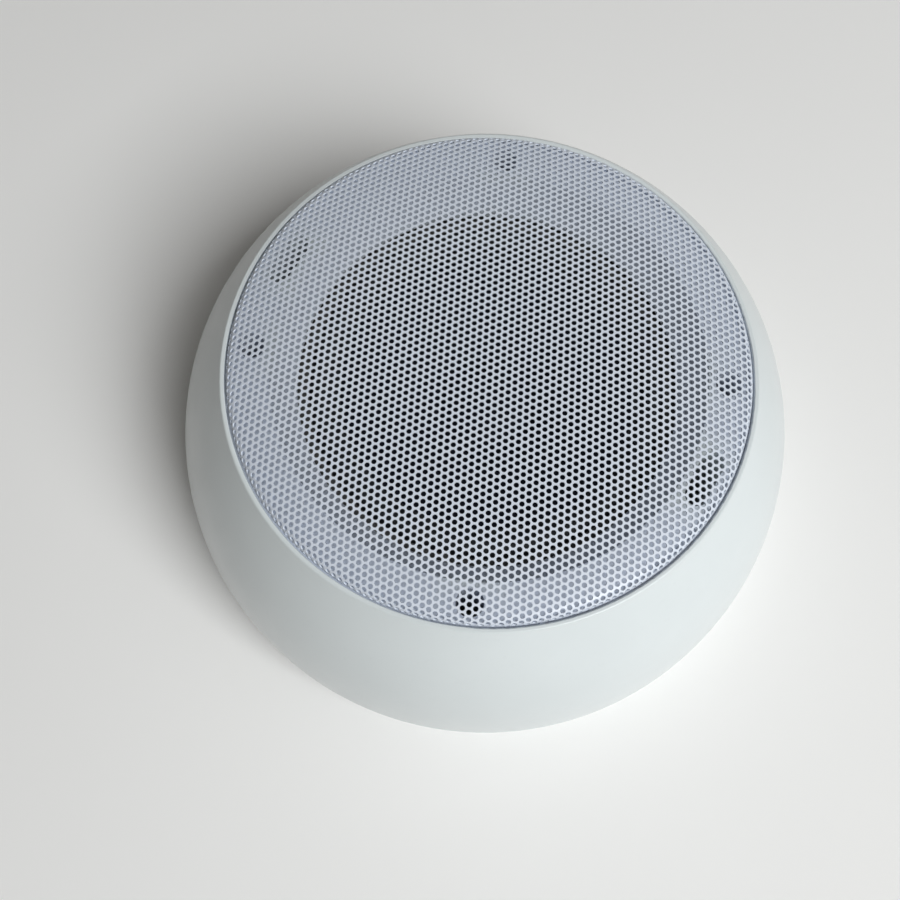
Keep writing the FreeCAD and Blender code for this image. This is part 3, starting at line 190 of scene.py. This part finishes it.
def ramp(nt, fac, stops):
    node = nt.nodes.new("ShaderNodeValToRGB")
    cr = node.color_ramp
    while len(cr.elements) > 1:
        cr.elements.remove(cr.elements[-1])
    cr.elements[0].position = stops[0][0]
    cr.elements[0].color = (*stops[0][1], 1.0)
    for pos, col in stops[1:]:
        e = cr.elements.new(pos)
        e.color = (*col, 1.0)
    nt.links.new(fac, node.inputs["Fac"])
    return node.outputs["Color"]


def spread(nt, fac, low, high, a=0.3, b=0.7):
    node = nt.nodes.new("ShaderNodeMapRange")
    node.inputs["From Min"].default_value = a
    node.inputs["From Max"].default_value = b
    node.inputs["To Min"].default_value = low
    node.inputs["To Max"].default_value = high
    nt.links.new(fac, node.inputs["Value"])
    return node.outputs[0]


def blend_colour(nt, fac, a, b):
    node = nt.nodes.new("ShaderNodeMix")
    node.data_type = "RGBA"
    nt.links.new(fac, node.inputs["Factor"])
    for sock, val in ((node.inputs["A"], a), (node.inputs["B"], b)):
        if isinstance(val, tuple):
            sock.default_value = (*val, 1.0)
        else:
            nt.links.new(val, sock)
    return node.outputs["Result"]


def bump(nt, heights, bsdf):
    """heights: list of (socket, strength, distance in m), chained."""
    last = None
    for height, strength, distance in heights:
        node = nt.nodes.new("ShaderNodeBump")
        node.inputs["Strength"].default_value = strength
        node.inputs["Distance"].default_value = distance
        nt.links.new(height, node.inputs["Height"])
        if last is not None:
            nt.links.new(last, node.inputs["Normal"])
        last = node.outputs["Normal"]
    nt.links.new(last, bsdf.inputs["Normal"])


def edge_mask(nt, low, high):
    geo = nt.nodes.new("ShaderNodeNewGeometry")
    return spread(nt, geo.outputs["Pointiness"], 0.0, 1.0, low, high)


def grille_shade_mask(nt, vec):
    """1 on the faces that the grille covers, where a bluish shade is painted into the colour; 0 on the rest."""
    flat = nt.nodes.new("ShaderNodeVectorMath")
    flat.operation = "MULTIPLY"
    flat.inputs[1].default_value = (1.0, 1.0, 0.0)
    nt.links.new(vec, flat.inputs[0])
    away = nt.nodes.new("ShaderNodeVectorMath")
    away.operation = "LENGTH"
    nt.links.new(flat.outputs[0], away.inputs[0])
    split = nt.nodes.new("ShaderNodeSeparateXYZ")
    nt.links.new(vec, split.inputs[0])
    both = nt.nodes.new("ShaderNodeMath")
    both.operation = "MULTIPLY"
    nt.links.new(spread(nt, away.outputs["Value"], 1.0, 0.0, 0.0931, 0.0933), both.inputs[0])
    nt.links.new(spread(nt, split.outputs["Z"], 0.0, 1.0, 0.060, 0.062), both.inputs[1])
    return both.outputs[0]


def moulded(name, base, second, rough, grain=900.0, coat=0.0, strength=0.1, dust=None, grille_shade_tint=None):
    """Moulded plastic: a slight cloud in the colour, fine grain, uneven gloss, rubbed edges, and on request a painted
    bluish shade under the grille.
    """
    mat, nt, bsdf, vec = tree_of(name)
    cloud = noise(nt, vec, 16.0, 4.0, 0.55)
    col = ramp(nt, cloud, [(0.32, second), (0.68, base)])
    if grille_shade_tint:
        # the faces that the grille keeps the daylight from have yellowed less
        # painted shade: the faces under the grille take a bluer tint that stands in for the cool shade there
        shaded_colour = ramp(nt, cloud, [(0.32, tuple(c * 0.955 for c in grille_shade_tint)), (0.68, grille_shade_tint)])
        col = blend_colour(nt, grille_shade_mask(nt, vec), col, shaded_colour)
    specks = noise(nt, vec, 420.0, 2.0)
    col = blend_colour(nt, spread(nt, specks, 0.0, 0.12, 0.62, 0.8), col, tuple(c * 0.8 for c in base))
    worn = edge_mask(nt, 0.52, 0.62)
    col = blend_colour(nt, worn, col, tuple(min(1.0, c * 1.06) for c in base))
    if dust:
        col = blend_colour(nt, spread(nt, noise(nt, vec, 55.0, 5.0, 0.6), 0.0, 0.35, 0.5, 0.75), col, dust)
    nt.links.new(col, bsdf.inputs["Base Color"])
    nt.links.new(spread(nt, noise(nt, vec, 60.0, 4.0, 0.6), rough - 0.05, rough + 0.07), bsdf.inputs["Roughness"])
    bump(
        nt,
        [(noise(nt, vec, grain, 2.0), strength, 0.00006), (noise(nt, vec, 35.0, 2.0), strength * 1.2, 0.0003)],
        bsdf,
    )
    bsdf.inputs["IOR"].default_value = 1.5
    if coat:
        bsdf.inputs["Coat Weight"].default_value = coat
        bsdf.inputs["Coat Roughness"].default_value = 0.18
    return mat


def metal(name, base, second, rough, metallic=1.0, scratch=True, rust=None):
    mat, nt, bsdf, vec = tree_of(name)
    cloud = noise(nt, vec, 70.0, 5.0, 0.6)
    col = ramp(nt, cloud, [(0.35, second), (0.65, base)])
    if rust:
        col = blend_colour(nt, spread(nt, noise(nt, vec, 130.0, 6.0, 0.65), 0.0, 0.7, 0.58, 0.72), col, rust)
    nt.links.new(col, bsdf.inputs["Base Color"])
    bsdf.inputs["Metallic"].default_value = metallic
    nt.links.new(spread(nt, noise(nt, vec, 150.0, 4.0), rough - 0.07, rough + 0.1), bsdf.inputs["Roughness"])
    fine = noise(nt, vec, 900.0, 2.0, 0.5, (1.0, 1.0, 0.12) if scratch else None)
    bump(nt, [(fine, 0.12, 0.00005)], bsdf)
    return mat


def painted(name, base, second, rough, peel=700.0):
    """Powder coat on steel: orange peel, uneven gloss, slightly thin on the edges."""
    mat, nt, bsdf, vec = tree_of(name)
    col = ramp(nt, noise(nt, vec, 14.0, 4.0, 0.6), [(0.3, second), (0.7, base)])
    worn = edge_mask(nt, 0.53, 0.66)
    col = blend_colour(nt, worn, col, tuple(min(1.0, c * 1.05) for c in base))
    nt.links.new(col, bsdf.inputs["Base Color"])
    nt.links.new(spread(nt, noise(nt, vec, 90.0, 3.0), rough - 0.05, rough + 0.06), bsdf.inputs["Roughness"])
    bump(nt, [(noise(nt, vec, peel, 2.0), 0.16, 0.00008), (noise(nt, vec, 2600.0, 1.0), 0.08, 0.00003)], bsdf)
    bsdf.inputs["IOR"].default_value = 1.5
    return mat


def fibrous(name, base, second, rough, scale=420.0, stretch=(1.0, 1.0, 1.0), shine=0.5):
    """Pressed paper or card: mottled fibres."""
    mat, nt, bsdf, vec = tree_of(name)
    fibres = noise(nt, vec, scale, 8.0, 0.7, stretch)
    col = ramp(nt, fibres, [(0.35, second), (0.62, base)])
    nt.links.new(col, bsdf.inputs["Base Color"])
    nt.links.new(spread(nt, fibres, rough - 0.1, rough + 0.08), bsdf.inputs["Roughness"])
    bsdf.inputs["Specular IOR Level"].default_value = shine
    bump(nt, [(fibres, 0.5, 0.0002), (noise(nt, vec, 60.0, 3.0), 0.3, 0.0004)], bsdf)
    return mat


def woven(name, base, second, rough, scale=1100.0):
    """Resin-dipped cloth: a fine weave with darker resin between the threads."""
    mat, nt, bsdf, vec = tree_of(name)
    heights = []
    for direction in ("X", "Y"):
        wave = nt.nodes.new("ShaderNodeTexWave")
        wave.wave_type = "BANDS"
        wave.bands_direction = direction
        wave.inputs["Scale"].default_value = scale / 3.0
        wave.inputs["Distortion"].default_value = 0.6
        nt.links.new(vec, wave.inputs["Vector"])
        heights.append(wave.outputs["Fac"])
    top = nt.nodes.new("ShaderNodeMath")
    top.operation = "MAXIMUM"
    nt.links.new(heights[0], top.inputs[0])
    nt.links.new(heights[1], top.inputs[1])
    col = ramp(nt, top.outputs[0], [(0.3, second), (0.8, base)])
    nt.links.new(col, bsdf.inputs["Base Color"])
    nt.links.new(spread(nt, noise(nt, vec, 90.0), rough - 0.05, rough + 0.1), bsdf.inputs["Roughness"])
    bump(nt, [(top.outputs[0], 0.5, 0.0002)], bsdf)
    return mat


def wound(name, base, second, rough, axis="Z", scale=900.0, metallic=0.8):
    """Enamelled wire laid in turns."""
    mat, nt, bsdf, vec = tree_of(name)
    wave = nt.nodes.new("ShaderNodeTexWave")
    wave.wave_type = "BANDS"
    wave.bands_direction = axis
    wave.inputs["Scale"].default_value = scale
    wave.inputs["Distortion"].default_value = 0.8
    wave.inputs["Detail"].default_value = 1.0
    nt.links.new(vec, wave.inputs["Vector"])
    col = ramp(nt, wave.outputs["Fac"], [(0.1, second), (0.6, base)])
    nt.links.new(col, bsdf.inputs["Base Color"])
    bsdf.inputs["Metallic"].default_value = metallic
    nt.links.new(spread(nt, noise(nt, vec, 200.0), rough - 0.05, rough + 0.1), bsdf.inputs["Roughness"])
    bump(nt, [(wave.outputs["Fac"], 0.6, 0.0002)], bsdf)
    return mat


def layered(name, base, second, rough):
    """Stacked and varnished sheets, seen as fine lines along the stack."""
    mat, nt, bsdf, vec = tree_of(name)
    mapping = nt.nodes.new("ShaderNodeMapping")
    mapping.inputs["Rotation"].default_value = (0.0, 0.0, math.radians(-45))
    nt.links.new(vec, mapping.inputs["Vector"])
    wave = nt.nodes.new("ShaderNodeTexWave")
    wave.wave_type = "BANDS"
    wave.bands_direction = "X"
    wave.inputs["Scale"].default_value = 320.0
    wave.inputs["Distortion"].default_value = 0.3
    nt.links.new(mapping.outputs[0], wave.inputs["Vector"])
    col = ramp(nt, wave.outputs["Fac"], [(0.05, second), (0.35, base)])
    col = blend_colour(nt, spread(nt, noise(nt, vec, 120.0, 5.0), 0.0, 0.5, 0.5, 0.75), col, (0.14, 0.08, 0.035))
    nt.links.new(col, bsdf.inputs["Base Color"])
    bsdf.inputs["Metallic"].default_value = 0.7
    nt.links.new(spread(nt, noise(nt, vec, 90.0), rough - 0.05, rough + 0.15), bsdf.inputs["Roughness"])
    bump(nt, [(wave.outputs["Fac"], 0.4, 0.0002)], bsdf)
    return mat


M = {
    # the last colour here is a painted bluish shade for the faces under the grille
    "white_plastic": moulded(
        "white_plastic", (0.715, 0.76, 0.765), (0.68, 0.725, 0.73), 0.33, coat=0.25, grille_shade_tint=(0.70, 0.75, 0.85)
    ),
    "white_plastic_inner": moulded("white_plastic_inner", (0.74, 0.765, 0.78), (0.70, 0.725, 0.74), 0.42),
    "white_steel": painted("white_steel", (0.725, 0.77, 0.855), (0.685, 0.735, 0.82), 0.38),
    "zinc_screw": metal("zinc_screw", (0.5, 0.47, 0.42), (0.36, 0.33, 0.29), 0.38, rust=(0.22, 0.12, 0.06)),
    "black_steel": painted("black_steel", (0.022, 0.024, 0.030), (0.014, 0.015, 0.019), 0.5),
    "zinc_steel": metal("zinc_steel", (0.6, 0.6, 0.58), (0.46, 0.46, 0.44), 0.35),
    "ferrite": fibrous("ferrite", (0.055, 0.055, 0.06), (0.03, 0.03, 0.034), 0.6, 700.0),
    "card": fibrous("card", (0.09, 0.088, 0.086), (0.05, 0.05, 0.05), 0.75),
    "foam": fibrous("foam", (0.035, 0.035, 0.036), (0.012, 0.012, 0.013), 0.9, 1300.0),
    "black_rubber": moulded("black_rubber", (0.014, 0.016, 0.021), (0.009, 0.010, 0.014), 0.62, 1600.0, strength=0.2),
    "black_paper": fibrous("black_paper", (0.008, 0.010, 0.019), (0.003, 0.004, 0.009), 0.78, shine=0.18),
    "amber_cloth": woven("amber_cloth", (0.55, 0.33, 0.10), (0.26, 0.13, 0.03), 0.5),
    "amber_tube": moulded("amber_tube", (0.42, 0.2, 0.05), (0.34, 0.15, 0.035), 0.25),
    "copper": wound("copper", (0.75, 0.32, 0.14), (0.3, 0.1, 0.04), 0.3),
    "core_steel": layered("core_steel", (0.30, 0.30, 0.31), (0.08, 0.08, 0.085), 0.4),
    "dark_plastic": moulded("dark_plastic", (0.05, 0.05, 0.055), (0.035, 0.035, 0.04), 0.5),
    "board": woven("board", (0.30, 0.16, 0.07), (0.2, 0.1, 0.04), 0.5),
    "tinned_brass": metal("tinned_brass", (0.72, 0.70, 0.64), (0.6, 0.56, 0.46), 0.3),
    "grey_plastic": moulded("grey_plastic", (0.30, 0.32, 0.33), (0.26, 0.28, 0.29), 0.42),
    "wire_cover": moulded("wire_cover", (0.32, 0.05, 0.04), (0.26, 0.035, 0.03), 0.38, 700.0),
}
slot_of = {s["node"]: s.get("material_slot", s["node"]) for s in frame["record"]["subparts"]}
for name, obj in nodes.items():
    obj.data.materials.clear()
    obj.data.materials.append(M[slot_of[name]])
    obj.data.shade_smooth()
    obj.data.set_sharp_from_angle(angle=math.radians(32))

# ------------------------------------------------------------------ grille: perforated and pressed
# The sheet is punched flat and then pressed: a domed middle, a bend of EDGE_BEND and a short straight skirt.
# A flat distance s from the middle lands on the pressed outline at the same length along it.
EDGE_BEND = 4.0
bend_r = GRILLE_RAD
for _ in range(40):
    tilt = math.atan(4 * QUARTIC * bend_r**3)
    bend_r = GRILLE_RAD - EDGE_BEND * (1 - math.sin(tilt))
line_r = list(np.linspace(0.0, bend_r, 400))
line_z = [GRILLE_TOP - QUARTIC * r**4 for r in line_r]
line_a = [math.atan(4 * QUARTIC * r**3) for r in line_r]
bend_z = line_z[-1] - EDGE_BEND * math.cos(tilt)
for k in range(1, 41):
    a = tilt + (math.pi / 2 - tilt) * k / 40
    line_r.append(GRILLE_RAD - EDGE_BEND + EDGE_BEND * math.sin(a))
    line_z.append(bend_z + EDGE_BEND * math.cos(a))
    line_a.append(a)
line_r.append(GRILLE_RAD)
line_z.append(GRILLE_FOOT)
line_a.append(math.pi / 2)
line_r, line_z, line_a = (np.array(q) for q in (line_r, line_z, line_a))
line_s = np.concatenate([[0.0], np.cumsum(np.hypot(np.diff(line_r), np.diff(line_z)))])
skirt_s, foot_s = float(line_s[-2]), float(line_s[-1])

row_gap = PITCH * math.sqrt(3) / 2
centres = []
for i in range(-90, 91):
    x = i * row_gap - SHIFT[0] * PITCH
    for j in range(-90, 91):
        y = (j + (i % 2) / 2.0) * PITCH - SHIFT[1] * PITCH
        if math.hypot(x, y) < foot_s - HOLE - 0.25:
            centres.append((x, y))
SIDES = 8
RIM = 216
# an eight-sided hole of the same open area as the round one
reach = HOLE * math.sqrt(math.pi / (SIDES / 2 * math.sin(2 * math.pi / SIDES)))
flat = []
loops = []
for cx, cy in centres:
    loops.append(list(range(len(flat), len(flat) + SIDES)))
    for m in range(SIDES):
        a = 2 * math.pi * (m + 0.5) / SIDES
        flat.append(Vector((cx + reach * math.cos(a), cy + reach * math.sin(a))))
rim = list(range(len(flat), len(flat) + RIM))
for m in range(RIM):
    a = 2 * math.pi * m / RIM
    flat.append(Vector((foot_s * math.cos(a), foot_s * math.sin(a))))
edges = [(l[m], l[(m + 1) % SIDES]) for l in loops for m in range(SIDES)]
edges += [(rim[m], rim[(m + 1) % RIM]) for m in range(RIM)]
# loose points keep the bend round where there is no hole
outer_holes = np.array([c for c in centres if math.hypot(*c) > bend_r - 2.0])
for s in (skirt_s, (skirt_s + float(np.interp(bend_r, line_r, line_s))) / 2):
    for m in range(RIM):
        a = 2 * math.pi * (m + 0.5) / RIM
        x, y = s * math.cos(a), s * math.sin(a)
        if np.hypot(outer_holes[:, 0] - x, outer_holes[:, 1] - y).min() > reach + 0.2:
            flat.append(Vector((x, y)))
owner = {}
for k, l in enumerate(loops):
    for v in l:
        owner[v] = k
verts2, edges2, faces2, orig_v, _, _ = delaunay_2d_cdt(flat, edges, [], 0, 1e-7)
home = [o[0] if o else -1 for o in orig_v]
top = []
for f in faces2:
    own = [owner.get(home[v], -1) for v in f]
    if own[0] >= 0 and own.count(own[0]) == len(own):
        continue
    top.append([home[v] for v in f])
count = len(flat)

pts = np.array([(p.x, p.y) for p in flat])
s_flat = np.hypot(pts[:, 0], pts[:, 1])
ang = np.arctan2(pts[:, 1], pts[:, 0]) + TURN
r_top, z_top, a_top = (np.interp(s_flat, line_s, q) for q in (line_r, line_z, line_a))
r_low, z_low = r_top - SHEET * np.sin(a_top), z_top - SHEET * np.cos(a_top)
verts = np.concatenate(
    [
        np.stack([r_top * np.cos(ang), r_top * np.sin(ang), z_top], 1),
        np.stack([r_low * np.cos(ang), r_low * np.sin(ang), z_low], 1),
    ]
) * MM
faces = []
for f in top:
    a, b, c = (flat[v] for v in f[:3])
    if (b - a).cross(c - a) < 0:
        f = f[::-1]
    faces.append(f)
    faces.append([v + count for v in f[::-1]])
for l in loops:
    for m in range(SIDES):
        a, b = l[m], l[(m + 1) % SIDES]
        faces.append((b, a, a + count, b + count))
for m in range(RIM):
    a, b = rim[m], rim[(m + 1) % RIM]
    faces.append((a, a + count, b + count, b))
grille = new_object("grille_sheet", verts.tolist(), faces, "speaker", 50.0)
grille.data.materials.append(M["white_steel"])
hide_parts("grille")

# ------------------------------------------------------------------ surround, spider and leads
F = 78.5
outline = (
    [(54.9, 77.8), (57.8, 77.8)]
    + [(57.8, 78.6)]
    + bow(61.5, 78.6, 3.7, 180, 0, 14)[1:]
    + [(65.2, 78.5), (69.5, 78.5), (69.5, 79.1)]
    + bow(61.5, 79.1, 4.3, 0, 180, 18)
    + [(57.2, 78.4), (54.9, 78.4)]
)
surround = lathe("surround_roll", outline, None, 180)
surround.data.materials.append(M["black_rubber"])
weigh(surround)
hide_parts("surround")

waves = [(12.86, 52.5), (14.6, 52.5)]
for w in range(5):
    c = 12.85 + 3.6 + 4.0 * w
    waves += bow(c, 52.9, 0.9, 150, 30, 6)
    if w < 4:
        waves += bow(c + 2.0, 52.3, 0.9, 210, 330, 6)
waves += [(36.4, 52.5), (42.4, 52.5)]
spider_line = [(r, z) for r, z in waves]
spider = lathe(
    "spider_cloth", spider_line + [(r, z + 0.5) for r, z in reversed(spider_line)], None, 144
)
spider.data.materials.append(M["amber_cloth"])
weigh(spider)
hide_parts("spider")

cad = nodes["tinsel_leads"].data
leads = new_object(
    "tinsel_lead_pair", [v.co for v in cad.vertices], [p.vertices for p in cad.polygons], None, 32.0
)
leads.data.materials.append(M["copper"])
weigh(leads)
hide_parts("tinsel_leads")

# ------------------------------------------------------------------ stage, light, camera
floor_mat, nt, bsdf, vec = tree_of("paper_floor")
nt.links.new(
    ramp(nt, noise(nt, vec, 3.0, 3.0), [(0.3, (0.90, 0.89, 0.875)), (0.7, (0.92, 0.91, 0.895))]),
    bsdf.inputs["Base Color"],
)
bsdf.inputs["Roughness"].default_value = 0.9
bump(nt, [(noise(nt, vec, 800.0, 2.0), 0.05, 0.0001)], bsdf)
floor_mesh = bpy.data.meshes.new("floor")
s = 3.0
floor_mesh.from_pydata([(-s, -s, 0), (s, -s, 0), (s, s, 0), (-s, s, 0)], [], [(0, 1, 2, 3)])
floor = bpy.data.objects.new("floor", floor_mesh)
bpy.context.scene.collection.objects.link(floor)
floor_mesh.materials.append(floor_mat)


def area_light(name, pos, aim, size, power, colour=(1.0, 1.0, 1.0), shape="RECTANGLE", size_y=None):
    data = bpy.data.lights.new(name, "AREA")
    data.shape = shape
    data.size = size
    if size_y:
        data.size_y = size_y
    data.energy = power
    data.color = colour
    obj = bpy.data.objects.new(name, data)
    obj.location = pos
    obj.rotation_mode = "QUATERNION"
    obj.rotation_quaternion = (Vector(aim) - Vector(pos)).to_track_quat("-Z", "Y")
    bpy.context.scene.collection.objects.link(obj)
    return obj


area_light("key", (1.5, -1.35, 2.25), (0, 0, 0.05), 1.6, 83.0, (0.97, 0.99, 1.0), size_y=1.6)
area_light("top", (0.78, 0.13, 2.5), (0, 0, 0.05), 2.0, 9.0, (0.97, 0.99, 1.0), size_y=2.0)
world = bpy.data.worlds.new("studio")
bpy.context.scene.world = world
world.use_nodes = True
world.node_tree.nodes["Background"].inputs["Color"].default_value = (1.0, 0.88, 0.68, 1.0)
world.node_tree.nodes["Background"].inputs["Strength"].default_value = 0.035

cam_data = bpy.data.cameras.new("camera")
cam_data.sensor_width = 36.0
cam_data.lens = 979.243593 / 900.0 * 36.0
cam_data.clip_start, cam_data.clip_end = 0.01, 20.0
cam = bpy.data.objects.new("camera", cam_data)
right = Vector((0.99630616, 0.08585242, 0.00184153))
up = Vector((-0.08205142, 0.94543251, 0.3153172))
back = Vector((0.0253297, -0.31430357, 0.94898455))
rot = Matrix((right, up, back)).transposed().to_4x4()
cam.matrix_world = Matrix.Translation(Vector((-2.47127121, -138.99487014, 419.33777679)) * MM) @ rot
bpy.context.scene.collection.objects.link(cam)
bpy.context.scene.camera = cam
bpy.context.scene.view_settings.view_transform = "Standard"
